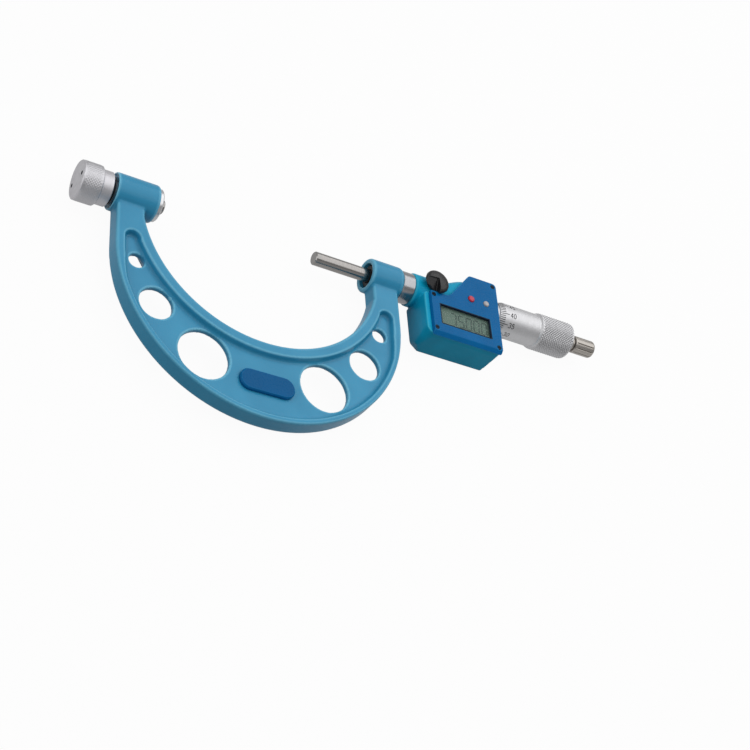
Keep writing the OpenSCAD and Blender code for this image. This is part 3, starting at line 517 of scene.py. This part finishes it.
def slim_rim(piece, side, cy, wall, slide):
    """Slide the wall of a rim across it, on the front (side 1) or the back (side -1)."""
    a, b, c, d = wall
    for v in piece.data.vertices:
        x, y = v.co.x / MM - BOW_X, v.co.y / MM - cy
        above = min(max((v.co.z / MM * side - WEB_TOP) / RIM_FOOT, 0), 1)
        below_arms = min(max((-v.co.y / MM - ARMS_END) / ARMS_FADE, 0), 1)
        r = math.hypot(x, y)
        if above * below_arms == 0 or not a < r < d:
            continue
        part = min((r - a) / (b - a), 1, (d - r) / (d - c))
        k = 1 + slide * part * above * below_arms / r
        v.co.x, v.co.y = (BOW_X + x * k) * MM, (cy + y * k) * MM


casting = soft_edged("frame", "frame_casting", "casting", "body", 0.5, 4)
for hole in HOLES:
    round_bore(casting, NODES["frame"], *hole)
# the outer rim is narrow on both faces, and the throat's rim at the back
slim_rim(casting, 1, OUTER_Y, OUTER_WALL, RIM_SLIDE)
slim_rim(casting, -1, OUTER_Y, OUTER_WALL, RIM_SLIDE)
slim_rim(casting, -1, THROAT_Y, THROAT_WALL, -RIM_SLIDE)

# Mouldings; the panel's left edge stands back from the housing's
PANEL_LEFT, LEFT_KEPT = 0.1324, 0.2    # metres, and the share of the edge that is kept
soft_edged("housing", "housing_moulding", "housing", "body", 0.4, 4)
panel = soft_edged("front_panel", "panel_moulding", "panel", "body", 0.25, 3)
for v in panel.data.vertices:
    if v.co.x < PANEL_LEFT:
        v.co.x = PANEL_LEFT - (PANEL_LEFT - v.co.x) * LEFT_KEPT
soft_edged("label_pad", "pad_enamelled", "pad", "body", 0.25, 4)
soft_edged("lock_knob", "lock_knob_moulding", "phenolic", "lock", 0.14, 3)
soft_edged("red_button", "red_key", "red", "red_button", 0.1, 4)
soft_edged("grey_button", "grey_key", "grey", "grey_button", 0.1, 4)

# Diamond knurls stand on the grip and on the clamp cap, at a pitch of 1.4 and 1.25 mm
knurl("thimble_knurl", x0=200.4, x1=219.1, r=9.2, depth=0.24, count=41,
      finish="grip knurl", body="spindle")
knurl("cap_knurl", x0=-38.2, x1=-30.7, r=8.87, depth=0.11, count=44,
      finish="cap knurl", body="clamp_cap")

# Drilled spanner holes in the cap's face, lined with near-black steel as painted shade inside them
SPANNER_CIRCLE = 5.6             # radius that they stand on
SPANNER_ANGLES = (98, 278)
# Station and radius of countersink, mouth, foot and the drill's point
SPANNER_HOLE = ((-39.206, 0.95), (-39.2, 0.79), (-38.3, 0.74), (-37.9, 0.5))
HOLE_SIDES = 24


def spanner_holes():
    bm = bmesh.new()
    for angle in SPANNER_ANGLES:
        y = SPANNER_CIRCLE * math.cos(math.radians(angle))
        z = SPANNER_CIRCLE * math.sin(math.radians(angle))
        rings = []
        for x, r in SPANNER_HOLE:
            around = [TURN * i / HOLE_SIDES for i in range(HOLE_SIDES)]
            rings.append([bm.verts.new((x * MM, (y + r * math.cos(a)) * MM,
                                        (z + r * math.sin(a)) * MM)) for a in around])
        for a, b in zip(rings, rings[1:]):
            for i in range(HOLE_SIDES):
                bm.faces.new((a[i], a[i - 1], b[i - 1], b[i]))
        bm.faces.new(rings[-1])
    make_piece("spanner_hole_shade", bm, "black oxide", "clamp_cap")


spanner_holes()

# Ratchet knob with narrow grooves between wide lands, hollow behind
RATCHET_X0, RATCHET_X1, RATCHET_R = 224.6, 236.8, 4.35
CORE_R, HOLLOW_R = 1.9, 3.3
MOUTH_WALL, END_WALL = 2, 1
MOUTH_ROUND, END_ROUND = 0.4, 1.1              # corner radii
FLANK_STOP, RUN_IN, RUN_OUT = 1.2, 0.8, 1.3    # flank stops before the end; grooves run in here
PLAIN_MOUTH, PLAIN_END = 0.9, 0.5              # no groove nearer to either end than this
RATCHET_SIDES = 400
GROOVES = 10
GROOVE_DEPTH, GROOVE_HALF, GROOVE_START = 0.42, 0.34, 0.35
LAND_FROM = 3.9       # nothing is cut where the knob is thinner than this


def ratchet_lands(x, r, a):
    """Radius of the knob's lands, with a V groove between each two."""
    if r < LAND_FROM or not RATCHET_X0 + PLAIN_MOUTH < x < RATCHET_X1 - PLAIN_END:
        return r
    off = abs((a * GROOVES / TURN + GROOVE_START) % 1 - 0.5) * TURN * r / GROOVES
    return r - GROOVE_DEPTH * max(0.0, 1 - off / GROOVE_HALF)


ratchet = turned("ratchet_knob_grooved", [
    (RATCHET_X1, 0), (RATCHET_X1, RATCHET_R, END_ROUND), (RATCHET_X1 - FLANK_STOP, RATCHET_R),
    (RATCHET_X0 + RUN_OUT, RATCHET_R), (RATCHET_X0 + RUN_IN, RATCHET_R),
    (RATCHET_X0, RATCHET_R, MOUTH_ROUND), (RATCHET_X0, CORE_R),
    (RATCHET_X0 + MOUTH_WALL, CORE_R), (RATCHET_X0 + MOUTH_WALL, HOLLOW_R),
    (RATCHET_X1 - END_WALL, HOLLOW_R), (RATCHET_X1 - END_WALL, 0)],
    RATCHET_SIDES, ratchet_lands, "burnished", "ratchet")
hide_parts("ratchet_knob")


# Scales: strokes laid on the surface that carries them

def arc(cx, cy, rx, ry, a0, a1, n=10):
    """Points of an arc from one angle in degrees to another."""
    return [(cx + rx * math.cos(math.radians(a0 + (a1 - a0) * i / n)),
             cy + ry * math.sin(math.radians(a0 + (a1 - a0) * i / n))) for i in range(n + 1)]


# Each figure is drawn in a box 0.6 wide and 1 high
FIGURES = {
    "0": [arc(0.3, 0.5, 0.26, 0.5, 90, 450, 20)],
    "1": [[(0.08, 0.76), (0.34, 1.0)], [(0.34, 1.02), (0.34, 0.0)]],
    "2": [arc(0.3, 0.72, 0.26, 0.28, 170, -28) + [(0.05, 0.0)], [(0.0, 0.03), (0.58, 0.03)]],
    "3": [arc(0.27, 0.76, 0.24, 0.24, 150, -80) + arc(0.27, 0.27, 0.29, 0.27, 75, -150)],
    "4": [[(0.44, 0.0), (0.44, 1.02)], [(0.46, 1.0), (0.04, 0.3)], [(0.0, 0.3), (0.62, 0.3)]],
    "5": [[(0.54, 0.97), (0.12, 0.97)], [(0.14, 1.0), (0.08, 0.5)],
          arc(0.27, 0.32, 0.29, 0.32, 130, -150)],
}
FIGURE_ADVANCE, FIGURE_HALF = 0.78, 0.3    # of the height
STROKE_PART = 0.3                          # a stroke bends with the surface this often
MITRE_LIMIT = 0.6


def stroke(bm, line, width, place, lift):
    """Flat ribbon along (u, v) points; place(u, v, lift) gives the point on the surface."""
    fine = [line[0]]
    for p, q in zip(line, line[1:]):
        parts = max(1, math.ceil(abs(q[1] - p[1]) / STROKE_PART))
        fine += [(p[0] + (q[0] - p[0]) * k / parts, p[1] + (q[1] - p[1]) * k / parts)
                 for k in range(1, parts + 1)]
    pairs = []
    for i, p in enumerate(fine):
        before = Vector(fine[max(i - 1, 0)])
        after = Vector(fine[min(i + 1, len(fine) - 1)])
        d = (after - before).normalized()
        side = Vector((-d.y, d.x)) * width / 2
        if 0 < i < len(fine) - 1:
            bend = (Vector(p) - before).angle(after - Vector(p), 0)
            side /= max(math.cos(bend / 2), MITRE_LIMIT)
        q = Vector(p)
        pairs.append([bm.verts.new(Vector(place(*(q + k * side), lift)) * MM) for k in (1, -1)])
    for (l0, r0), (l1, r1) in zip(pairs, pairs[1:]):
        bm.faces.new((r0, r1, l1, l0))


def number(bm, text, u, v, height, width, place, lift):
    """Figures centred on (u, v), reading along u."""
    step = height * FIGURE_ADVANCE
    start = u - (len(text) - 1) * step / 2 - height * FIGURE_HALF
    for i, figure in enumerate(text):
        for line in FIGURES[figure]:
            placed = [(start + i * step + x * height, v + (y - 0.5) * height) for x, y in line]
            stroke(bm, placed, width, place, lift)


# Thimble: fifty lines over its bevel, a number at every fifth, 40 turned to the reader
THIMBLE_R = 8.3
LIP_X, LIP_R = 175.2, 7.4
BEVEL_L, BEVEL_RISE = 3.2, 0.9
BEVEL_X = 178.4
THIMBLE_LINES, FORTY_AT = 50, 105
LINE_STEP = 360 / THIMBLE_LINES
LINE_X0, SHORT_X1, LONG_X1 = 175.35, 177.9, 180.0
THIMBLE_LINE_W, THIMBLE_FIGURE_W = 0.34, 0.33
THIMBLE_FIGURE_X, THIMBLE_FIGURE_H = 182.3, 2.4
THIMBLE_LIFT = 0.02


def on_thimble(u, v, lift):
    """u runs along X, v is the arc from the top towards the back."""
    r = min(LIP_R + (u - LIP_X) * BEVEL_RISE / BEVEL_L, THIMBLE_R) + lift
    a = math.radians(90) - v / THIMBLE_R
    return u, r * math.cos(a), r * math.sin(a)


def thimble_scale():
    bm = bmesh.new()
    for n in range(THIMBLE_LINES):
        v = math.radians(90 - FORTY_AT - (40 - n) * LINE_STEP) * THIMBLE_R
        if n % 5:
            stroke(bm, [(LINE_X0, v), (SHORT_X1, v)], THIMBLE_LINE_W, on_thimble, THIMBLE_LIFT)
            continue
        stroke(bm, [(LINE_X0, v), (BEVEL_X, v), (LONG_X1, v)], THIMBLE_LINE_W, on_thimble,
               THIMBLE_LIFT)
        number(bm, str(n), THIMBLE_FIGURE_X, v, THIMBLE_FIGURE_H, THIMBLE_FIGURE_W, on_thimble,
               THIMBLE_LIFT)
    make_piece("thimble_scale", bm, "scale", "spindle")


thimble_scale()

# Sleeve: a line along it with half millimetres on both sides, a number at every fifth millimetre
SLEEVE_R, SLEEVE_AT = 7.0, 33
SLEEVE_X0, SLEEVE_X1 = 172.0, 200.6
HALF_MM_LINES = 51
LONG_LINE, SHORT_LINE = 2.2, 1.4
DATUM_W, SLEEVE_LINE_W, SLEEVE_FIGURE_W = 0.16, 0.14, 0.18
SLEEVE_FIGURE_V, SLEEVE_FIGURE_H = 3.2, 1.5
SLEEVE_LIFT = 0.012


def on_sleeve(u, v, lift):
    """u runs along X, v is the arc from the line along the sleeve."""
    a = math.radians(SLEEVE_AT) - v / SLEEVE_R
    return u, (SLEEVE_R + lift) * math.cos(a), (SLEEVE_R + lift) * math.sin(a)


def sleeve_scale():
    bm = bmesh.new()
    stroke(bm, [(SLEEVE_X0, 0), (SLEEVE_X1, 0)], DATUM_W, on_sleeve, SLEEVE_LIFT)
    for n in range(HALF_MM_LINES):
        x = LIP_X + n * 0.5
        side = 1 if n % 2 == 0 else -1
        reach = LONG_LINE if n % 10 == 0 else SHORT_LINE
        stroke(bm, [(x, 0), (x, side * reach)], SLEEVE_LINE_W, on_sleeve, SLEEVE_LIFT)
        if n % 10 == 0:
            number(bm, str(n // 2), x, SLEEVE_FIGURE_V, SLEEVE_FIGURE_H, SLEEVE_FIGURE_W,
                   on_sleeve, SLEEVE_LIFT)
    make_piece("sleeve_scale", bm, "scale", "body")


sleeve_scale()

# Window: a dark lining round it, painted shade for the shadow on the window's walls, and the
# display's figures of seven bars under the lens
WINDOW_X, WINDOW_Y = 150.9, -16.9
WINDOW_HALF_X, WINDOW_HALF_Y = 14.55, 5.95
# Height and inset of the lining's corners, round its section
WINDOW_LINING = ((9.02, 0.05), (9.9, 0.05), (9.98, 0.13), (9.98, 0.5), (9.9, 0.6), (9.02, 0.6))
BARS = {
    "a": ((0, 1), (1, 1)), "b": ((1, 1), (1, 0.5)), "c": ((1, 0.5), (1, 0)),
    "d": ((1, 0), (0, 0)), "e": ((0, 0), (0, 0.5)), "f": ((0, 0.5), (0, 1)),
    "g": ((0, 0.5), (1, 0.5)),
}
LIT = {"7": "abc", "5": "acdfg", "0": "abcdef"}
READING, POINT_AFTER = "75000", 2
BAR_W, BAR_GAP, BAR_TIP = 0.8, 0.12, 0.3
DIGIT_W, DIGIT_H, DIGIT_STEP, FIRST_DIGIT = 2.9, 6.8, 4.4, -7.6
POINT_HALF, POINT_BACK = 0.35, 0.75
DISPLAY_Z, DISPLAY_LIFT, DIGIT_SLANT = 8.2, 0.08, 0.07


def window_gasket():
    bm = bmesh.new()
    corners = ((-1, -1), (1, -1), (1, 1), (-1, 1))
    rings = [[bm.verts.new(((WINDOW_X + a * (WINDOW_HALF_X - inset)) * MM,
                            (WINDOW_Y + b * (WINDOW_HALF_Y - inset)) * MM, z * MM))
              for a, b in corners] for z, inset in WINDOW_LINING]
    for k, ring in enumerate(rings):
        following = rings[(k + 1) % len(rings)]
        for i in range(4):
            j = (i + 1) % 4
            bm.faces.new((ring[i], ring[j], following[j], following[i]))
    bmesh.ops.recalc_face_normals(bm, faces=bm.faces)
    make_piece("window_gasket", bm, "window shade", "body")


def on_display(u, v):
    """Point on the display's glass; the figures lean to the right."""
    return Vector((WINDOW_X + u + v * DIGIT_SLANT, WINDOW_Y + v, DISPLAY_Z + DISPLAY_LIFT)) * MM


def display_figures():
    bm = bmesh.new()
    for i, figure in enumerate(READING):
        left = FIRST_DIGIT + i * DIGIT_STEP
        for bar in LIT[figure]:
            (x0, y0), (x1, y1) = BARS[bar]
            p = Vector((left + x0 * DIGIT_W, (y0 - 0.5) * DIGIT_H))
            q = Vector((left + x1 * DIGIT_W, (y1 - 0.5) * DIGIT_H))
            d = (q - p).normalized()
            n = Vector((-d.y, d.x)) * BAR_W / 2
            a, b = p + d * BAR_GAP, q - d * BAR_GAP
            tip = d * BAR_TIP
            outline = (a, a + tip - n, b - tip - n, b, b - tip + n, a + tip + n)
            bm.faces.new([bm.verts.new(on_display(k.x, k.y)) for k in outline])
    x, y = FIRST_DIGIT + POINT_AFTER * DIGIT_STEP - POINT_BACK, -DIGIT_H / 2
    bm.faces.new([bm.verts.new(on_display(x + a * POINT_HALF, y + b * POINT_HALF))
                  for a, b in ((-1, -1), (1, -1), (1, 1), (-1, 1))])
    make_piece("display_figures", bm, "figures", "body")


window_gasket()
display_figures()


# Studio: soft sky, two soft boxes and a pale sweep

WHITE = 1.06          # a little over 1, so that the backdrop stays white in its soft shade

world = bpy.data.worlds.new("studio")
bpy.context.scene.world = world
world.use_nodes = True
sky = world.node_tree
way = add(sky, "ShaderNodeTexCoord").outputs["Generated"]


def sky_patch(direction, begins, full, dim, bright):
    """Soft patch of sky round a direction; begins and full are cosines of the angle from it."""
    lean = add(sky, "ShaderNodeVectorMath", {0: way, 1: Vector(direction).normalized()},
               operation="DOT_PRODUCT")
    return add(sky, "ShaderNodeMapRange", {
        "Value": lean.outputs["Value"], "From Min": begins, "From Max": full,
        "To Min": dim, "To Max": bright}, interpolation_type="SMOOTHSTEP").outputs[0]


overhead = sky_patch((0.1, 0.3, 0.95), -0.1, 0.9, 0.1, 0.42)
window = sky_patch((-0.95, 0.1, 0.3), 0.2, 0.95, 0.0, 0.3)
sweep_behind = sky_patch((0.15, 1.0, 0.2), 0.55, 0.95, 0.0, 0.22)
room_in_front = sky_patch((0.42, -0.88, 0.16), 0.82, 0.98, 0.0, 0.36)
glow = overhead
for patch in (window, sweep_behind, room_in_front):
    glow = add(sky, "ShaderNodeMath", {0: glow, 1: patch}, operation="ADD").outputs[0]
camera_ray = add(sky, "ShaderNodeLightPath").outputs["Is Camera Ray"]
backdrop = add(sky, "ShaderNodeMath", {0: camera_ray, 1: WHITE}, operation="MULTIPLY").outputs[0]
glow = add(sky, "ShaderNodeMath", {0: glow, 1: backdrop}, operation="MAXIMUM").outputs[0]
sky.links.new(glow, sky.nodes["Background"].inputs["Strength"])
sky.nodes["Background"].inputs["Color"].default_value = (1, 1, 1, 1)


def softbox(name, at, towards, size, watts):
    """Rectangular light in metres that faces a point."""
    light = bpy.data.lights.new(name, "AREA")
    light.shape = "RECTANGLE"
    light.size, light.size_y = size
    light.energy = watts
    box = bpy.data.objects.new(name, light)
    bpy.context.scene.collection.objects.link(box)
    box.location = at
    box.rotation_euler = (Vector(towards) - Vector(at)).to_track_quat("-Z", "Y").to_euler()


softbox("overhead", at=(0.45, 0.22, 0.95), towards=(0.1, -0.02, 0), size=(1.4, 1.5), watts=7.7)
softbox("left_fill", at=(-0.75, -0.12, 0.35), towards=(0.08, -0.03, 0), size=(0.7, 0.5),
        watts=1.2)

FLOOR_HALF, FLOOR_DROP = 3, 0.0005
SWEEP_GREY, SWEEP_ROUGH = 0.3, 0.9
# How white the sweep is to each kind of ray; the rest is its own shading, which holds the shadow
WHITE_TO = {"Is Camera Ray": 0.9, "Is Transmission Ray": 0.9, "Is Glossy Ray": 0.5}


def sweep_paper():
    """Matt grey paper that shows nearly white to the camera, in metal and through glass."""
    material, tree, paper = surface("white studio sweep", Roughness=SWEEP_ROUGH)[:3]
    paper.inputs["Base Color"].default_value = (SWEEP_GREY, SWEEP_GREY, SWEEP_GREY, 1)
    white = add(tree, "ShaderNodeEmission", {"Color": (1, 1, 1, 1), "Strength": WHITE})
    path = add(tree, "ShaderNodeLightPath")
    share = 0.0
    for ray, part in WHITE_TO.items():
        seen = add(tree, "ShaderNodeMath", {0: path.outputs[ray], 1: part}, operation="MULTIPLY")
        share = add(tree, "ShaderNodeMath", {0: share, 1: seen.outputs[0]},
                    operation="MAXIMUM").outputs[0]
    mixed = add(tree, "ShaderNodeMixShader", {0: share, 1: paper.outputs[0], 2: white.outputs[0]})
    tree.links.new(mixed.outputs[0], tree.nodes["Material Output"].inputs["Surface"])
    return material


floor_mesh = bpy.data.meshes.new("floor")
bm = bmesh.new()
floor_z = cad_box[0][2] - FLOOR_DROP
bm.faces.new([bm.verts.new((a * FLOOR_HALF, b * FLOOR_HALF, floor_z))
              for a, b in ((-1, -1), (1, -1), (1, 1), (-1, 1))])
bm.to_mesh(floor_mesh)
bm.free()
floor_mesh.materials.append(sweep_paper())
floor = bpy.data.objects.new("floor", floor_mesh)
bpy.context.scene.collection.objects.link(floor)
